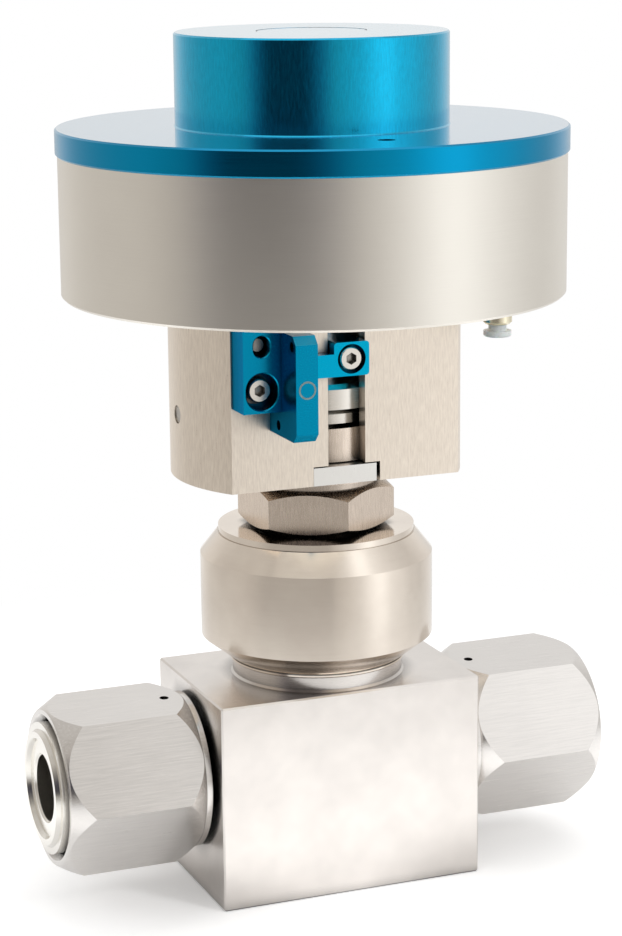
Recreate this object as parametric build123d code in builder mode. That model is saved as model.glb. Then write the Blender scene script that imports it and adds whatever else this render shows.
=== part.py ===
"""Pneumatic actuated bellows valve with face-seal pipe ends.

The flow runs along X at flow_height. The stem stands on Z, on the middle of the
body block, and z = 0 is the block's underside. The indicator faces -Y.
All sizes are in millimetres.
"""

import os
from math import cos, radians, sin, sqrt

from build123d import *

os.makedirs("parts", exist_ok=True)

# Body block and its flow passages
block_length = 66.7
block_height = 50.6
block_margin = 1.95
block_edge = 0.4
flow_height = 29.05
passage_step = 0.4
seat_bore_radius = 7.0
inlet_overrun = 5.0
outlet_end = 9.2
port_margin = 0.5
port_sweep = 84.0
chamber_wall = 3.8
chamber_depth = 10.6
boss_radius = 20.8
boss_height = 17.6
boss_foot = 0.5
foot_screw_radius = 2.5
foot_screw_depth = 9.0
foot_screw_pitch = 40.0

# Seat, valve disc and bellows
seat_depth = 2.0
seat_height = 4.0
seat_wall = 2.4
disc_overlap = 2.3
disc_height = 4.5
disc_edge = 0.6
disc_spigot_radius = 3.0
stem_radius = 5.0
bellows_depth = 4.6
bellows_folds = 4
bellows_skin = 1.0
gasket_height = 0.4
flange_height = 3.0

# Face-seal pipe ends for 19.05 mm (3/4 in) pipe
pipe_radius = 9.525
pipe_wall = 1.625
gland_stand_out = 2.1
gland_flange_rim = 6.325
gland_flange_height = 5.0
bead_margin = 1.65
bead_width = 2.7
bead_height = 1.0
bead_slope = 0.6
gland_mouth = 0.5
weld_fillet = 0.8

# Union nuts
nut_wall = 2.9
nut_length = 34.9
nut_gap = 1.15
nut_back = 4.5
nut_collar = 1.35
nut_collar_step = 0.1
nut_bevel = 5.0
nut_mouth = 1.4
nut_turn_inlet = 3.8
nut_turn_outlet = 5.4
nut_edge = 0.3
weep_radius = 1.1
weep_distance = 5.8

# Bonnet
bonnet_gap = 3.6
bonnet_wall = 7.45
bonnet_height = 33.3
bonnet_collar_wall = 0.6
bonnet_collar_height = 0.9
bonnet_groove = 0.25
bonnet_lower_cone = 5.4
bonnet_upper_cone = 5.2
bonnet_lip_inset = 4.45
bonnet_lip_height = 1.6
bonnet_lip_step = 0.35

# Stem housing with its hexagon
shank_radius = 13.0
hexagon_flats = 33.0
hexagon_height = 10.4
hexagon_gap = 0.45
hexagon_turn = 32.1
hexagon_bevel = 1.5
hexagon_top_inset = 1.0
hexagon_top_bevel = 2.05
relief_height = 1.9
relief_depth = 2.0
neck_foot = 1.0
neck_height = 12.6
packing_radius = 8.0
bush_height = 8.0
packing_height = 3.8
gland_nut_inset = 1.5
gland_nut_thread = 10.0
gland_nut_height = 3.1
gland_nut_reach = 6.0
gland_nut_gap = 0.9
gland_nut_bevel = 0.8

# Yoke
yoke_radius = 35.0
yoke_bore = 17.0
flat_wall = 3.0
slot_width = 9.4
notch_width = 16.9
notch_height = 4.6
key_depth = 7.0
key_gap = 0.95
key_headroom = 0.3
vent_radius = 2.2
vent_drop = 27.2
vent_plug_drop = 0.4
vent_plug_length = 3.0

# Stem coupling and indicator arm
stroke = 5.0
coupling_gap = 0.5
coupling_height = 5.9
coupling_bevel = 1.1
rod_radius = 10.0
rod_spigot_radius = 6.0
rod_spigot_height = 3.0
rod_flat_depth = 0.7
arm_gap = 3.3
arm_height = 8.0
arm_corner = 0.8
arm_headroom = 0.7
arm_recess_radius = 3.5
arm_recess_depth = 3.2
finger_height = 5.35
finger_thickness = 3.0

# Indicator bracket
wing_edge = 0.32
wing_width = 9.2
wing_thickness = 7.5
wing_height = 20.0
wing_drop = 6.15
blade_thickness = 5.35
blade_reach = 16.75
blade_drop = 5.8
blade_height = 24.4
blade_bevel = 1.9
blade_hole_radius = 1.2
blade_hole_depth = 2.0
blade_hole_inset = 2.45
blade_hole_drop = 2.5
blade_hole_setback = 5.5
blade_hole_rise = 2.35
screw_slot_rise = 4.95
slot_spacing = 10.4
slot_travel = 0.9
slot_recess_radius = 3.85
slot_recess_depth = 5.2
slot_rim = 0.25
guide_pin_radius = 1.5
guide_pin_sink = 3.0
guide_slot_radius = 2.0

# Actuator cylinder
cylinder_radius = 60.0
cylinder_wall = 6.0
cylinder_base = 6.0
cylinder_edge = 0.6
hub_lip = 1.0
rod_bush_wall = 3.0
rod_bush_height = 4.5
rod_seal_height = 3.5

# Piston and closing springs
piston_gap = 1.0
piston_height = 13.0
piston_pocket_depth = 6.0
piston_bolt_radius = 7.0
piston_nut_flats = 22.0
piston_nut_height = 8.0
seal_depth = 3.5
seal_height = 4.0
guide_band_depth = 2.0
guide_band_height = 3.0
band_margin = 1.5
coil_gap = 2.4
inner_coil_wire = 3.4
inner_coil_turns = 4.5
outer_coil_wire = 5.0
outer_coil_turns = 3.5

# Blue cover and spring cap
cover_overhang = 0.5
cover_thickness = 6.2
cover_edge = 0.4
cover_spigot_height = 8.4
cover_seal_depth = 1.5
cover_seal_height = 2.4
cover_seal_drop = 1.6
pin_hole_radius = 2.0
pin_hole_gap = 11.5
pin_hole_depth = 4.0
cap_wall = 4.0
cap_height = 21.7
cap_edge = 0.4
cap_foot = 0.25
cap_spigot_height = 5.0
cap_spigot_wall = 2.0
plug_radius = 13.0
plug_height = 2.0
plug_drop = 0.05
plug_gap = 0.25
plug_shank_radius = 10.0

# Push-in air fitting for 3.2 mm tube
port_offset = 1.8
port_angle = -45.0
tube_radius = 1.62
fitting_radius = 3.4
fitting_thread = 2.5
fitting_thread_height = 4.5
fitting_hexagon = 7.0
fitting_hexagon_height = 2.0
fitting_height = 5.25
fitting_edge = 0.5
fitting_passage = 1.2
fitting_socket = 2.5
fitting_washer_height = 0.6
collar_bore_gap = 0.06
collar_wall = 0.42
collar_rim = 1.15
collar_flange_height = 1.35
collar_reach = 2.2
collar_exposed = 1.6
collar_edge = 0.3
collar_travel = 0.8

# Screws and clearances
screw_radius = 1.5
screw_head_radius = 2.75
screw_head_height = 3.0
screw_hex = 2.5
screw_hex_depth = 1.6
screw_edge = 0.3
screw_clearance = 0.2
arm_screw_reach = 16.0
bracket_screw_reach = 10.0
washer_radius = 3.5
washer_height = 0.5
big_screw_radius = 2.5
big_head_radius = 4.25
big_head_height = 2.8
big_recess_depth = 3.0
big_screw_reach = 12.0
big_screw_hex = 3.0
running = 0.05
slack = 0.3
clear = 0.5

# Radii that follow from the sizes above
bore_radius = pipe_radius - pipe_wall
passage_radius = bore_radius - passage_step
gland_flange_radius = pipe_radius + gland_flange_rim
bead_outer = gland_flange_radius - bead_margin
bead_inner = bead_outer - bead_width
nut_thread_radius = gland_flange_radius + slack
nut_flats = 2 * (nut_thread_radius + nut_wall)
nut_corner_radius = nut_flats / sqrt(3)
block_width = 2 * (boss_radius + block_margin)
chamber_radius = boss_radius - chamber_wall
seat_outer = seat_bore_radius + seat_wall
disc_radius = seat_bore_radius + disc_overlap
port_inner = seat_outer + port_margin
port_outer = chamber_radius - port_margin
bellows_inner = disc_radius - slack
bellows_outer = bellows_inner + bellows_depth
bonnet_collar_radius = boss_radius + bonnet_collar_wall
bonnet_radius = boss_radius + bonnet_wall
bonnet_lip_radius = bonnet_radius - bonnet_lip_inset
gland_nut_radius = yoke_bore - gland_nut_inset
yoke_flat = yoke_bore + flat_wall
yoke_screw_circle = (yoke_bore + yoke_radius) / 2
rod_bush_radius = rod_radius + rod_bush_wall
rod_flat = rod_radius - rod_flat_depth
hexagon_top_radius = hexagon_flats / 2 - hexagon_top_inset
relief_radius = yoke_bore - relief_depth
inner_coil_radius = piston_nut_flats / sqrt(3) + coil_gap + inner_coil_wire / 2
outer_coil_radius = inner_coil_radius + inner_coil_wire / 2 + coil_gap + outer_coil_wire / 2
cap_inner = outer_coil_radius + outer_coil_wire / 2 + coil_gap
cap_radius = cap_inner + cap_wall
cover_opening = cap_inner + cap_spigot_wall
cylinder_bore = cylinder_radius - cylinder_wall
cover_radius = cylinder_radius + cover_overhang
piston_radius = cylinder_bore - clear
pin_hole_circle = cap_radius + pin_hole_gap
port_circle = (yoke_radius + cylinder_bore) / 2 + port_offset
collar_bore = tube_radius + collar_bore_gap
collar_neck_radius = collar_bore + collar_wall
collar_flange_radius = collar_neck_radius + collar_rim

# Heights, from the block up to the cap
chamber_floor = block_height - chamber_depth
boss_top = block_height + boss_height
seat_bottom = chamber_floor - seat_depth
seat_top = seat_bottom + seat_height
disc_top = seat_top + disc_height
gasket_top = boss_top + gasket_height
flange_top = gasket_top + flange_height
bonnet_bottom = block_height + bonnet_gap
bonnet_top = bonnet_bottom + bonnet_height
hexagon_bottom = bonnet_top + hexagon_gap
hexagon_top = hexagon_bottom + hexagon_height
foot_bottom = hexagon_top + relief_height
yoke_bottom = foot_bottom + neck_foot
notch_top = yoke_bottom + notch_height
neck_top = yoke_bottom + neck_height
gland_nut_bottom = neck_top + gland_nut_gap
gland_nut_top = gland_nut_bottom + gland_nut_height
thread_bottom = neck_top - gland_nut_reach
packing_bottom = thread_bottom - packing_height
bush_bottom = packing_bottom - bush_height
coupling_bottom = gland_nut_top + coupling_gap
coupling_top = coupling_bottom + coupling_height
spigot_bottom = coupling_top - rod_spigot_height
arm_bottom = coupling_top + arm_gap
arm_middle = arm_bottom + arm_height / 2
hub_bottom = arm_bottom + arm_height + stroke + arm_headroom
rod_seal_bottom = hub_bottom + hub_lip
rod_bush_bottom = rod_seal_bottom + rod_seal_height
base_top = rod_bush_bottom + rod_bush_height
yoke_top = base_top - cylinder_base
piston_bottom = base_top + piston_gap
piston_top = piston_bottom + piston_height
pocket_floor = piston_top - piston_pocket_depth
cover_spigot_bottom = piston_top + stroke
cover_bottom = cover_spigot_bottom + cover_spigot_height
cover_top = cover_bottom + cover_thickness
cap_top = cover_top + cap_height
cap_ceiling = cap_top - cap_wall

# Places across the flow
block_end = block_length / 2
nut_start = block_end + nut_gap
nut_end = nut_start + nut_length
nut_shoulder = nut_start + nut_back
gland_face = nut_end + gland_stand_out
gland_flange_front = gland_face - bead_height
gland_flange_back = gland_flange_front - gland_flange_height
wing_left = wing_edge - sqrt(yoke_radius**2 - yoke_flat**2)
blade_left = wing_left + wing_width
blade_right = blade_left + blade_thickness
arm_front = yoke_flat + slack + finger_thickness
wing_front = yoke_flat + wing_thickness
blade_front = yoke_flat + blade_reach
screw_x = (wing_left + blade_left) / 2
wing_bottom = arm_bottom - wing_drop
lower_slot = wing_bottom + screw_slot_rise
upper_slot = lower_slot + slot_spacing
blade_bottom = wing_bottom - blade_drop
blade_top = blade_bottom + blade_height
port_place = (port_circle * cos(radians(port_angle)), port_circle * sin(radians(port_angle)))

flow_axis = Axis((0, 0, flow_height), (1, 0, 0))
inlet_face = Plane(origin=(-block_end, 0, flow_height), x_dir=(0, 1, 0), z_dir=(-1, 0, 0))
outlet_face = Plane(origin=(block_end, 0, flow_height), x_dir=(0, 1, 0), z_dir=(1, 0, 0))


def save(piece, label):
    """Name a finished piece and write it to its own file."""
    piece.part.label = label
    export_step(piece.part, f"parts/{label}.step")


def turned(outline, axis=Axis.Z):
    """Turn a closed outline of (radius, height) points about an axis."""
    with BuildPart() as piece:
        with BuildSketch(Plane.XZ):
            with BuildLine():
                Polyline(*outline, close=True)
            make_face()
        revolve(axis=axis)
    return piece


def ring(outer, inner, bottom, top):
    """A plain ring or sleeve on the stem axis."""
    return turned([(inner, bottom), (outer, bottom), (outer, top), (inner, top)])


# Body block: two end bores, a seat bore, a kidney port and the bellows chamber
with BuildPart() as body_block:
    with BuildSketch():
        Rectangle(block_length, block_width)
    extrude(amount=block_height)
    chamfer(body_block.edges(), block_edge)
    with BuildSketch(Plane.XY.offset(block_height)):
        Circle(boss_radius)
    extrude(amount=boss_height)
    foot_circle = body_block.edges().filter_by(GeomType.CIRCLE).sort_by(Axis.Z)[0]
    chamfer(foot_circle, boss_foot)
    with BuildSketch(Plane.XY.offset(chamber_floor)):
        Circle(chamber_radius)
    extrude(until=Until.LAST, mode=Mode.SUBTRACT)
    with BuildSketch(Plane.XY.offset(seat_bottom)):
        Circle(seat_outer)
    extrude(amount=seat_depth, mode=Mode.SUBTRACT)
    with BuildSketch(Plane.XY.offset(flow_height)):
        Circle(seat_bore_radius)
    extrude(amount=seat_bottom - flow_height, mode=Mode.SUBTRACT)
    with BuildSketch(Plane.XY.offset(flow_height)):
        port_arc = CenterArc((0, 0), (port_inner + port_outer) / 2, -port_sweep / 2, port_sweep)
        SlotArc(port_arc, port_outer - port_inner)
    extrude(amount=chamber_floor - flow_height, mode=Mode.SUBTRACT)
    with BuildSketch(inlet_face):
        Circle(passage_radius)
    extrude(amount=-(block_end + inlet_overrun), mode=Mode.SUBTRACT)
    with BuildSketch(outlet_face):
        Circle(passage_radius)
    extrude(amount=-(block_end - outlet_end), mode=Mode.SUBTRACT)
    with Locations(Plane.XY.rotated((180, 0, 0))):
        with GridLocations(foot_screw_pitch, 0, 2, 1):
            Hole(foot_screw_radius, foot_screw_depth)
save(body_block, "body_block")

# Seat ring, pressed into the chamber floor
seat_ring = ring(seat_outer, seat_bore_radius, seat_bottom, seat_top)
save(seat_ring, "seat_ring")

# Pipe ends: a tube, a flange and the sealing bead on its face
pipe_top = flow_height + pipe_radius
with BuildPart() as outlet_gland:
    with BuildSketch(Plane.XZ):
        with BuildLine():
            Polyline(
                (gland_flange_front, flow_height + bead_outer),
                (gland_flange_front, flow_height + gland_flange_radius),
                (gland_flange_back, flow_height + gland_flange_radius),
                (gland_flange_back, pipe_top),
                (block_end + weld_fillet, pipe_top),
                (block_end, pipe_top + weld_fillet),
                (block_end, flow_height + bore_radius),
                (gland_flange_front - gland_mouth, flow_height + bore_radius),
                (gland_flange_front, flow_height + bore_radius + gland_mouth),
                (gland_flange_front, flow_height + bead_inner),
                (gland_face, flow_height + bead_inner + bead_slope),
                (gland_face, flow_height + bead_outer - bead_slope),
                close=True,
            )
        make_face()
    revolve(axis=flow_axis)
save(outlet_gland, "outlet_gland")

with BuildPart() as inlet_gland:
    mirror(outlet_gland.part, about=Plane.YZ)
save(inlet_gland, "inlet_gland")


def union_nut(turn):
    """A hexagon nut with long bevels, slid back against the block on the +X side."""
    hexagon_plane = Plane(origin=(nut_start, 0, flow_height), x_dir=(0, 1, 0), z_dir=(1, 0, 0))
    collar_radius = nut_flats / 2 - nut_collar_step
    with BuildPart() as nut:
        with BuildSketch(hexagon_plane):
            RegularPolygon(nut_flats / 2, 6, major_radius=False, rotation=turn)
        extrude(amount=nut_length)
        with BuildSketch(Plane.XZ):
            with BuildLine():
                Polyline(
                    (nut_start, flow_height + pipe_radius + slack),
                    (nut_start, flow_height + collar_radius),
                    (nut_start + nut_collar, flow_height + collar_radius),
                    (nut_start + nut_collar + nut_bevel, flow_height + nut_corner_radius),
                    (nut_end - nut_edge - nut_bevel, flow_height + nut_corner_radius),
                    (nut_end - nut_edge, flow_height + collar_radius),
                    (nut_end, flow_height + collar_radius - nut_edge),
                    (nut_end, flow_height + nut_thread_radius + nut_mouth),
                    (nut_end - nut_mouth, flow_height + nut_thread_radius),
                    (nut_shoulder, flow_height + nut_thread_radius),
                    (nut_shoulder, flow_height + pipe_radius + slack),
                    close=True,
                )
            make_face()
        revolve(axis=flow_axis, mode=Mode.INTERSECT)
        weep_plane = Plane(origin=(nut_start + weep_distance, 0, flow_height), z_dir=(0, 0, 1))
        with BuildSketch(weep_plane.rotated((turn, 0, 0))):
            Circle(weep_radius)
        extrude(amount=nut_flats, mode=Mode.SUBTRACT)
    return nut


outlet_union_nut = union_nut(nut_turn_outlet)
save(outlet_union_nut, "outlet_union_nut")

inlet_nut_pattern = union_nut(nut_turn_inlet)
with BuildPart() as inlet_union_nut:
    mirror(inlet_nut_pattern.part, about=Plane.YZ)
save(inlet_union_nut, "inlet_union_nut")

# Valve stem and the disc that closes on the seat
valve_disc = turned(
    [
        (disc_spigot_radius, seat_top),
        (disc_radius - disc_edge, seat_top),
        (disc_radius, seat_top + disc_edge),
        (disc_radius, disc_top),
        (disc_spigot_radius, disc_top),
    ]
)
save(valve_disc, "valve_disc")

valve_stem = turned(
    [
        (0, seat_top),
        (disc_spigot_radius, seat_top),
        (disc_spigot_radius, disc_top),
        (stem_radius, disc_top),
        (stem_radius, spigot_bottom),
        (0, spigot_bottom),
    ]
)
save(valve_stem, "valve_stem")

# Bellows: thin cones joined at their rims, from the disc up to the flange
fold_pitch = (gasket_top - disc_top) / bellows_folds
inner_wall = []
outer_wall = []
for fold in range(bellows_folds):
    fold_bottom = disc_top + fold * fold_pitch
    inner_wall += [(bellows_inner, fold_bottom), (bellows_outer - bellows_skin, fold_bottom + fold_pitch / 2)]
    outer_wall += [(bellows_inner + bellows_skin, fold_bottom), (bellows_outer, fold_bottom + fold_pitch / 2)]
inner_wall.append((bellows_inner, gasket_top))
outer_wall.append((bellows_inner + bellows_skin, gasket_top))
bellows = turned(inner_wall + outer_wall[::-1])
save(bellows, "bellows")

bellows_flange = ring(boss_radius - slack, stem_radius + clear, gasket_top, flange_top)
save(bellows_flange, "bellows_flange")

body_gasket = ring(boss_radius - slack, chamber_radius, boss_top, gasket_top)
save(body_gasket, "body_gasket")

# Bonnet, screwed over the boss to clamp the bellows flange
cone_bottom = bonnet_bottom + bonnet_collar_height
lip_bottom = bonnet_top - bonnet_lip_height
bonnet = turned(
    [
        (boss_radius, bonnet_bottom),
        (bonnet_collar_radius - bonnet_groove, bonnet_bottom),
        (bonnet_collar_radius, bonnet_bottom + bonnet_groove),
        (bonnet_collar_radius, cone_bottom - bonnet_groove),
        (bonnet_collar_radius - bonnet_groove, cone_bottom - bonnet_groove),
        (bonnet_collar_radius - bonnet_groove, cone_bottom),
        (bonnet_collar_radius, cone_bottom),
        (bonnet_radius, cone_bottom + bonnet_lower_cone),
        (bonnet_radius, lip_bottom - bonnet_upper_cone),
        (bonnet_lip_radius + bonnet_lip_step, lip_bottom),
        (bonnet_lip_radius, lip_bottom),
        (bonnet_lip_radius, bonnet_top),
        (shank_radius, bonnet_top),
        (shank_radius, flange_top),
        (boss_radius, flange_top),
    ]
)
save(bonnet, "bonnet")

# Stem housing: a shank in the bonnet, a hexagon, a relief, and a threaded neck in the yoke
hexagon_corner = hexagon_flats / sqrt(3)
with BuildPart() as stem_housing:
    with BuildSketch(Plane.XY.offset(hexagon_bottom)):
        RegularPolygon(hexagon_flats / 2, 6, major_radius=False, rotation=hexagon_turn)
    extrude(amount=hexagon_height)
    with BuildSketch(Plane.XZ):
        with BuildLine():
            Polyline(
                (0, hexagon_bottom),
                (hexagon_flats / 2 - clear, hexagon_bottom),
                (hexagon_corner, hexagon_bottom + hexagon_bevel),
                (hexagon_corner, hexagon_top - hexagon_top_bevel),
                (hexagon_top_radius, hexagon_top),
                (0, hexagon_top),
                close=True,
            )
        make_face()
    revolve(axis=Axis.Z, mode=Mode.INTERSECT)
    with BuildSketch(Plane.XY.offset(flange_top)):
        Circle(shank_radius)
    extrude(amount=hexagon_bottom - flange_top)
    with BuildSketch(Plane.XY.offset(hexagon_top)):
        Circle(relief_radius)
    extrude(amount=relief_height)
    with BuildSketch(Plane.XY.offset(foot_bottom)):
        Circle(yoke_bore)
    extrude(amount=neck_foot + neck_height)
    with BuildSketch(Plane.XY.offset(flange_top)):
        Circle(stem_radius + clear)
    extrude(amount=neck_top - flange_top, mode=Mode.SUBTRACT)
    with BuildSketch(Plane.XY.offset(bush_bottom)):
        Circle(packing_radius)
    extrude(amount=neck_top - bush_bottom, mode=Mode.SUBTRACT)
    with BuildSketch(Plane.XY.offset(thread_bottom)):
        Circle(gland_nut_thread)
    extrude(amount=gland_nut_reach, mode=Mode.SUBTRACT)
    with BuildSketch(Plane.XY.offset(yoke_bottom)):
        with Locations((0, -yoke_flat)):
            Rectangle(notch_width, 2 * key_depth)
    extrude(amount=notch_height, mode=Mode.SUBTRACT)
save(stem_housing, "stem_housing")

# Locking key, on the foot of the neck and pushed to one side of its notch
with BuildPart() as locking_key:
    with BuildSketch(Plane.XY.offset(yoke_bottom)):
        with Locations((-notch_width / 2 + running, -yoke_flat)):
            Rectangle(notch_width - key_gap, key_depth, align=(Align.MIN, Align.MIN))
    extrude(amount=notch_height - key_headroom)
save(locking_key, "locking_key")

stem_bush = ring(packing_radius, stem_radius + running, bush_bottom, packing_bottom)
save(stem_bush, "stem_bush")

stem_packing = ring(packing_radius, stem_radius + running, packing_bottom, thread_bottom)
save(stem_packing, "stem_packing")

gland_nut = turned(
    [
        (stem_radius + clear, thread_bottom),
        (gland_nut_thread, thread_bottom),
        (gland_nut_thread, gland_nut_bottom),
        (gland_nut_radius, gland_nut_bottom),
        (gland_nut_radius, gland_nut_top - gland_nut_bevel),
        (gland_nut_radius - gland_nut_bevel, gland_nut_top),
        (stem_radius + clear, gland_nut_top),
    ]
)
save(gland_nut, "gland_nut")

# Yoke: a bored round with a front flat, the arm's slot and the key's notch
flat_plane = Plane(origin=(0, -yoke_flat, 0), x_dir=(1, 0, 0), z_dir=(0, -1, 0))
vent_plane = Plane(origin=(-yoke_radius, 0, yoke_top - vent_drop), z_dir=(-1, 0, 0))
with BuildPart() as yoke:
    with BuildSketch(Plane.XY.offset(yoke_bottom)):
        Circle(yoke_radius)
        Circle(yoke_bore, mode=Mode.SUBTRACT)
    extrude(amount=yoke_top - yoke_bottom)
    split(bisect_by=flat_plane, keep=Keep.BOTTOM)
    with BuildSketch(flat_plane):
        with Locations((0, notch_top)):
            Rectangle(slot_width, yoke_top - notch_top, align=(Align.CENTER, Align.MIN))
        with Locations((0, yoke_bottom)):
            Rectangle(notch_width, notch_height, align=(Align.CENTER, Align.MIN))
    extrude(amount=-yoke_flat, mode=Mode.SUBTRACT)
    with BuildSketch(flat_plane):
        with Locations((screw_x, lower_slot)):
            Circle(screw_radius)
        with Locations((screw_x, upper_slot)):
            Circle(guide_pin_radius)
    extrude(amount=-bracket_screw_reach, mode=Mode.SUBTRACT)
    with BuildSketch(vent_plane):
        Circle(vent_radius)
    extrude(amount=-(yoke_radius - yoke_bore / 2), mode=Mode.SUBTRACT)
    with BuildSketch(Plane.XY.offset(yoke_top)):
        with PolarLocations(yoke_screw_circle, 4, 0, 180, endpoint=True):
            Circle(big_screw_radius)
    extrude(amount=-(big_screw_reach + clear - cylinder_base + big_recess_depth), mode=Mode.SUBTRACT)
save(yoke, "yoke")

# Porous plug in the vent, just below the yoke's skin
with BuildPart() as vent_plug:
    with BuildSketch(vent_plane.offset(-vent_plug_drop)):
        Circle(vent_radius)
    extrude(amount=-vent_plug_length)
save(vent_plug, "vent_plug")

# Stem coupling and piston rod
stem_coupling = turned(
    [
        (stem_radius, coupling_bottom),
        (yoke_bore - running, coupling_bottom),
        (yoke_bore - running, coupling_top - coupling_bevel),
        (yoke_bore - running - coupling_bevel, coupling_top),
        (rod_spigot_radius, coupling_top),
        (rod_spigot_radius, spigot_bottom),
        (stem_radius, spigot_bottom),
    ]
)
save(stem_coupling, "stem_coupling")

rod_top = pocket_floor + piston_nut_height + clear
screw_seat = arm_front - arm_recess_depth
rod_flat_plane = Plane(origin=(0, -rod_flat, 0), x_dir=(1, 0, 0), z_dir=(0, -1, 0))
with BuildPart() as piston_rod:
    with BuildSketch(Plane.XZ):
        with BuildLine():
            Polyline(
                (0, spigot_bottom),
                (rod_spigot_radius, spigot_bottom),
                (rod_spigot_radius, coupling_top),
                (rod_radius, coupling_top),
                (rod_radius, piston_bottom),
                (piston_bolt_radius, piston_bottom),
                (piston_bolt_radius, rod_top),
                (0, rod_top),
                close=True,
            )
        make_face()
    revolve(axis=Axis.Z)
    with BuildSketch(rod_flat_plane):
        with Locations((0, arm_middle)):
            Rectangle(2 * rod_radius, arm_height + running)
    extrude(amount=rod_radius, mode=Mode.SUBTRACT)
    with BuildSketch(rod_flat_plane):
        with Locations((0, arm_middle)):
            Circle(screw_radius)
    extrude(amount=-(arm_screw_reach - screw_seat + rod_flat), mode=Mode.SUBTRACT)
save(piston_rod, "piston_rod")

# Indicator arm: a block through the yoke's slot with a finger towards the blade
arm_plane = Plane(origin=(0, -arm_front, 0), x_dir=(1, 0, 0), z_dir=(0, -1, 0))
arm_width = slot_width - 2 * slack
finger_end = blade_right + clear
with BuildPart() as indicator_arm:
    with BuildSketch(arm_plane):
        with Locations((0, arm_middle)):
            RectangleRounded(arm_width, arm_height, arm_corner)
    extrude(amount=-(arm_front - rod_flat))
    with BuildSketch(arm_plane):
        with Locations((finger_end, arm_bottom)):
            Rectangle(-finger_end, finger_height, align=(Align.MIN, Align.MIN))
    extrude(amount=-finger_thickness)
    with Locations(arm_plane):
        with Locations((0, arm_middle)):
            CounterBoreHole(screw_radius + screw_clearance, arm_recess_radius, arm_recess_depth)
save(indicator_arm, "indicator_arm")


def socket_screw(seat_plane, reach):
    """A small socket head screw whose head rises from its seat plane."""
    with BuildPart() as screw:
        with BuildSketch(seat_plane):
            Circle(screw_head_radius)
        extrude(amount=screw_head_height)
        top_edge = screw.faces().sort_by(Axis.Y)[0].edges()
        chamfer(top_edge, screw_edge)
        with BuildSketch(seat_plane.offset(screw_head_height)):
            RegularPolygon(screw_hex / 2, 6, major_radius=False, rotation=30)
        extrude(amount=-screw_hex_depth, mode=Mode.SUBTRACT)
        with BuildSketch(seat_plane):
            Circle(screw_radius)
        extrude(amount=-reach)
    return screw


arm_seat = Plane(origin=(0, -screw_seat, arm_middle), x_dir=(1, 0, 0), z_dir=(0, -1, 0))
arm_screw = socket_screw(arm_seat, arm_screw_reach)
save(arm_screw, "arm_screw")

# Indicator bracket: a wing against the flat and a blade that stands forward
wing_plane = Plane(origin=(0, -wing_front, 0), x_dir=(1, 0, 0), z_dir=(0, -1, 0))
with BuildPart() as indicator_bracket:
    with BuildSketch(Plane.YZ.offset(blade_left)):
        with BuildLine():
            Polyline(
                (-yoke_flat, blade_bottom),
                (-blade_front + blade_bevel, blade_bottom),
                (-blade_front, blade_bottom + blade_bevel),
                (-blade_front, blade_top - blade_bevel),
                (-blade_front + blade_bevel, blade_top),
                (-yoke_flat, blade_top),
                close=True,
            )
        make_face()
    extrude(amount=blade_thickness)
    with BuildSketch(flat_plane):
        with Locations((wing_left, wing_bottom)):
            Rectangle(wing_width, wing_height, align=(Align.MIN, Align.MIN))
    extrude(amount=wing_thickness)
    with BuildSketch(wing_plane):
        with Locations((screw_x, lower_slot)):
            SlotCenterToCenter(slot_travel, 2 * slot_recess_radius, rotation=90)
    extrude(amount=-slot_recess_depth, mode=Mode.SUBTRACT)
    with BuildSketch(wing_plane):
        with Locations((screw_x, lower_slot)):
            SlotCenterToCenter(slot_travel, 2 * (slot_recess_radius + slot_rim), rotation=90)
        with Locations((screw_x, upper_slot)):
            SlotCenterToCenter(slot_travel, 2 * (guide_slot_radius + slot_rim), rotation=90)
    extrude(amount=-slot_rim, taper=45, mode=Mode.SUBTRACT)
    with BuildSketch(wing_plane):
        with Locations((screw_x, lower_slot)):
            SlotCenterToCenter(slot_travel, 2 * (screw_radius + screw_clearance), rotation=90)
        with Locations((screw_x, upper_slot)):
            SlotCenterToCenter(slot_travel, 2 * guide_slot_radius, rotation=90)
    extrude(amount=-wing_thickness, mode=Mode.SUBTRACT)
    with BuildSketch(Plane.YZ.offset(blade_left)):
        with Locations(
            (blade_hole_inset - blade_front, blade_top - blade_hole_drop),
            (-yoke_flat - blade_hole_setback, blade_bottom + blade_hole_rise),
        ):
            Circle(blade_hole_radius)
    extrude(amount=blade_hole_depth, mode=Mode.SUBTRACT)
save(indicator_bracket, "indicator_bracket")

washer_back = wing_front - slot_recess_depth
with BuildPart() as bracket_washer:
    with BuildSketch(Plane(origin=(screw_x, -washer_back, lower_slot), z_dir=(0, -1, 0))):
        Circle(washer_radius)
        Circle(screw_radius, mode=Mode.SUBTRACT)
    extrude(amount=washer_height)
save(bracket_washer, "bracket_washer")

washer_front = washer_back + washer_height
bracket_seat = Plane(origin=(screw_x, -washer_front, lower_slot), x_dir=(1, 0, 0), z_dir=(0, -1, 0))
bracket_screw = socket_screw(bracket_seat, washer_front - yoke_flat + bracket_screw_reach)
save(bracket_screw, "bracket_screw")

with BuildPart() as guide_pin:
    with BuildSketch(Plane(origin=(screw_x, -wing_front + guide_pin_sink, upper_slot), z_dir=(0, -1, 0))):
        Circle(guide_pin_radius)
    extrude(amount=-(wing_thickness - guide_pin_sink + bracket_screw_reach))
save(guide_pin, "guide_pin")

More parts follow.
